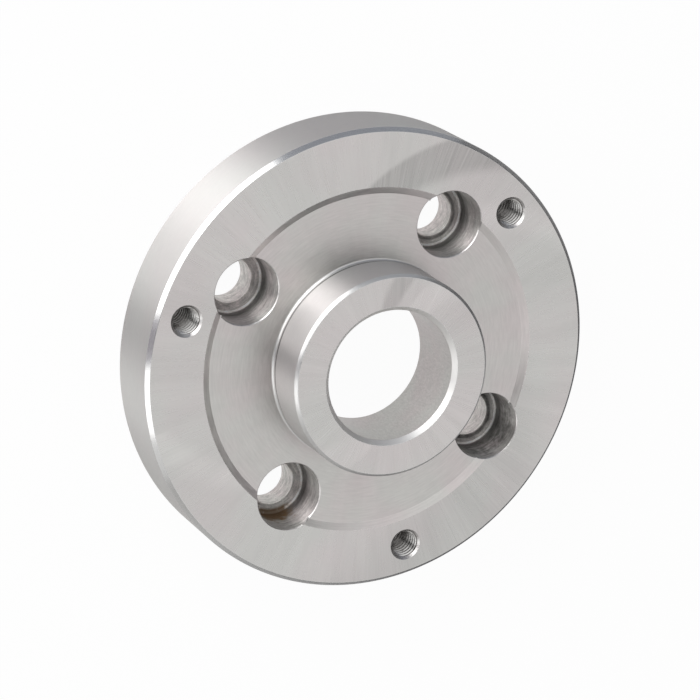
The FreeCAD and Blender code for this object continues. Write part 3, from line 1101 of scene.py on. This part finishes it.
# Boards that only reflections see: name, bearing and height in degrees, distance,
# width and height in metres, and colour
BOARDS = (
    ("far_board_left", 45.0, 17.0, 0.95, 1.8, 0.88, (0.37, 0.39, 0.44)),
    ("far_board_right", 298.0, 7.0, 1.0, 1.3, 0.3, (0.21, 0.20, 0.20)),
    ("back_board", 0.0, 10.0, 0.9, 0.9, 0.5, (0.11, 0.11, 0.12)),
    ("upper_board", 2.0, 35.0, 0.9, 0.8, 0.32, (0.14, 0.14, 0.15)),
    ("lower_board", 243.0, 20.0, 0.95, 0.9, 0.56, (0.60, 0.59, 0.58)),
    ("low_gap_board", 169.2, 21.0, 0.9, 0.28, 0.34, (0.46, 0.43, 0.48)),
    ("high_gap_board", 167.5, 56.0, 0.9, 0.28, 0.66, (0.05, 0.05, 0.05)),
    ("left_board", 168.0, 2.0, 0.93, 0.28, 0.22, (0.05, 0.05, 0.05)),
)
# Cards on the floor that only reflections see: a dark one beside the plate, a painted shadow of the
# plate, with its bearing in degrees, distance, width and depth in metres and colour, and a pale
# glowing disc under the plate
SHADOW_CARD = (-45.0, 0.332, 0.9, 0.52, (0.16, 0.155, 0.16))
PALE_CARD = (61.5 * MM, (1.0, 1.0, 1.0))
CARD_GAP = 0.1 * MM


def floor_material():
    """Pale floor that shows white to the camera and still takes the plate's shadow.

    From below the camera sees through it, to the plate's back face.
    """
    material = bpy.data.materials.new("pale_floor")
    material.use_nodes = True
    tree = material.node_tree
    matt = tree.nodes["Principled BSDF"]
    matt.inputs["Base Color"].default_value = (0.86, 0.86, 0.86, 1.0)
    matt.inputs["Roughness"].default_value = 0.9
    matt.inputs["Specular IOR Level"].default_value = 0.0
    white = put(tree, "ShaderNodeEmission", {"Color": (1.0, 1.0, 1.0, 1.0), "Strength": 1.0})
    path = put(tree, "ShaderNodeLightPath").outputs
    through = calc(tree, "MAXIMUM", path["Is Camera Ray"], path["Is Transmission Ray"])
    share = calc(tree, "MAXIMUM", times(tree, through, FLOOR_WHITE),
                 times(tree, path["Is Glossy Ray"], FLOOR_MIRRORED))
    top = put(tree, "ShaderNodeMixShader", {0: share, 1: matt.outputs[0], 2: white.outputs[0]})
    underneath = put(tree, "ShaderNodeNewGeometry").outputs["Backfacing"]
    clear = put(tree, "ShaderNodeBsdfTransparent")
    mix = put(tree, "ShaderNodeMixShader", {
        0: times(tree, underneath, path["Is Camera Ray"]),
        1: top.outputs[0], 2: clear.outputs[0],
    })
    tree.links.new(mix.outputs[0], tree.nodes["Material Output"].inputs["Surface"])
    return material


def seen_rays(tree):
    """1 for rays from the camera or through gloss or glass, 0 for rays that only carry light."""
    path = put(tree, "ShaderNodeLightPath").outputs
    either = calc(tree, "MAXIMUM", path["Is Camera Ray"], path["Is Glossy Ray"])
    return calc(tree, "MAXIMUM", either, path["Is Transmission Ray"])


def white_world():
    """White background, and a softer light from it on matt surfaces."""
    world = bpy.data.worlds.new("white_studio")
    bpy.context.scene.world = world
    world.use_nodes = True
    tree = world.node_tree
    background = tree.nodes["Background"]
    background.inputs["Color"].default_value = (1.0, 1.0, 1.0, 1.0)
    strength = put(tree, "ShaderNodeMapRange", {
        "Value": seen_rays(tree), "To Min": WORLD_LIGHT, "To Max": 1.0,
    })
    tree.links.new(strength.outputs[0], background.inputs["Strength"])


def at_bearing(bearing, height, distance):
    """A place round the plate, by its bearing from +X and its height above the floor."""
    turn, rise = math.radians(bearing), math.radians(height)
    flat = math.cos(rise)
    return distance * Vector((math.cos(turn) * flat, math.sin(turn) * flat, math.sin(rise)))


def facing_plate(place):
    """The turn that points a lamp's or board's -Z at the plate."""
    return (-place).to_track_quat("-Z", "Y").to_euler()


def add_lamp(name, bearing, height, distance, width, tall, brightness):
    """A soft rectangular lamp that reflections and shadows see, and the camera doesn't."""
    place = at_bearing(bearing, height, distance)
    deselect_all()
    bpy.ops.object.light_add(type="AREA", location=place, rotation=facing_plate(place))
    lamp = bpy.context.object
    lamp.name = name
    lamp.data.shape = "RECTANGLE"
    lamp.data.size = width
    lamp.data.size_y = tall
    lamp.data.energy = brightness * math.pi * width * tall
    lamp.visible_camera = False


def add_board(name, bearing, height, distance, width, tall, colour):
    """A board that faces the plate and only shows in the steel's reflections."""
    place = at_bearing(bearing, height, distance)
    deselect_all()
    bpy.ops.mesh.primitive_plane_add(size=1.0, location=place, rotation=facing_plate(place))
    make_board(name, place, width, tall, colour)


def add_cards():
    """The two cards on the floor."""
    # The dark card paints the plate's shadow on the floor, for reflections
    bearing, distance, width, depth, colour = SHADOW_CARD
    place = at_bearing(bearing, 0.0, distance) - Vector((0.0, 0.0, CARD_GAP))
    turn = (0.0, 0.0, math.radians(bearing + 90.0))
    deselect_all()
    bpy.ops.mesh.primitive_plane_add(size=1.0, location=place, rotation=turn)
    make_board("dark_card", place, width, depth, colour)
    # The pale disc glows white under the plate: painted light where the plate shades the floor, for
    # reflections through the holes
    radius, colour = PALE_CARD
    place = Vector((0.0, 0.0, -CARD_GAP))
    deselect_all()
    bpy.ops.mesh.primitive_circle_add(
        vertices=HOLE_STEPS, radius=0.5, fill_type="NGON", location=place
    )
    make_board("pale_card", place, 2 * radius, 2 * radius, colour)


def make_board(name, place, width, tall, colour):
    """Size the new shape, and give it an even glow that only reflections see."""
    board = bpy.context.object
    board.name = name
    bpy.ops.transform.resize(value=(width, tall, 1.0), orient_type="LOCAL", center_override=place)
    bpy.ops.object.transform_apply(location=True, rotation=True, scale=True)
    material = bpy.data.materials.new(name)
    material.use_nodes = True
    tree = material.node_tree
    glow = put(tree, "ShaderNodeEmission", {"Color": rgba(colour), "Strength": 1.0})
    tree.links.new(glow.outputs[0], tree.nodes["Material Output"].inputs["Surface"])
    board.data.materials.append(material)
    board.visible_camera = False
    board.visible_diffuse = False
    board.visible_shadow = False


def add_floor():
    """A wide floor just under the plate."""
    deselect_all()
    bpy.ops.mesh.primitive_plane_add(size=FLOOR_SIZE, location=(0.0, 0.0, -FLOOR_GAP))
    floor = bpy.context.object
    floor.name = "floor"
    bpy.ops.object.transform_apply(location=True, rotation=True, scale=True)
    floor.data.materials.append(floor_material())


def add_camera():
    """The photograph's camera, worked out from the plate's rim, hub and hole circles."""
    deselect_all()
    back = CAMERA_RIGHT.cross(CAMERA_UP)
    turn = Matrix((CAMERA_RIGHT, CAMERA_UP, back)).transposed().to_euler()
    bpy.ops.object.camera_add(location=CAMERA_PLACE, rotation=turn)
    camera = bpy.context.object
    camera.name = "photo_camera"
    camera.data.sensor_width = SENSOR
    camera.data.lens = CAMERA_LENS
    camera.data.clip_start = 0.05
    bpy.context.scene.camera = camera


class PLATE_OT_studio(bpy.types.Operator):
    """Set up the floor, the soft lamps, the boards and the camera"""

    bl_idname = "plate.studio"
    bl_label = "Studio"

    def execute(self, context):
        context.scene.view_settings.view_transform = "Standard"
        add_camera()
        add_floor()
        white_world()
        for lamp in LAMPS:
            add_lamp(*lamp)
        for board in BOARDS:
            add_board(*board)
        add_cards()
        return {"FINISHED"}


class PLATE_PT_panel(bpy.types.Panel):
    """Lists the plate's steps, sizes and colours"""

    bl_label = "Adapter plate"
    bl_idname = "PLATE_PT_panel"
    bl_space_type = "VIEW_3D"
    bl_region_type = "UI"
    bl_category = "Adapter plate"

    def draw(self, context):
        layout = self.layout
        layout.operator(PLATE_OT_studio.bl_idname)
        layout.operator(PLATE_OT_turned_plate.bl_idname)
        for group in (context.scene.plate_sizes, context.scene.plate_finish):
            for name in group.__annotations__:
                layout.prop(group, name)


CLASSES = (PlateSizes, PlateFinish, PLATE_OT_turned_plate, PLATE_OT_studio, PLATE_PT_panel)


def register():
    """Register the classes and hang the settings on the scene."""
    for item in CLASSES:
        bpy.utils.register_class(item)
    bpy.types.Scene.plate_sizes = bpy.props.PointerProperty(type=PlateSizes)
    bpy.types.Scene.plate_finish = bpy.props.PointerProperty(type=PlateFinish)


def unregister():
    """Take the settings and the classes away again."""
    del bpy.types.Scene.plate_finish
    del bpy.types.Scene.plate_sizes
    for item in reversed(CLASSES):
        bpy.utils.unregister_class(item)


def main():
    """Build everything in order."""
    register()
    bpy.ops.plate.studio()
    bpy.ops.plate.turned_plate()


if __name__ == "__main__":
    main()
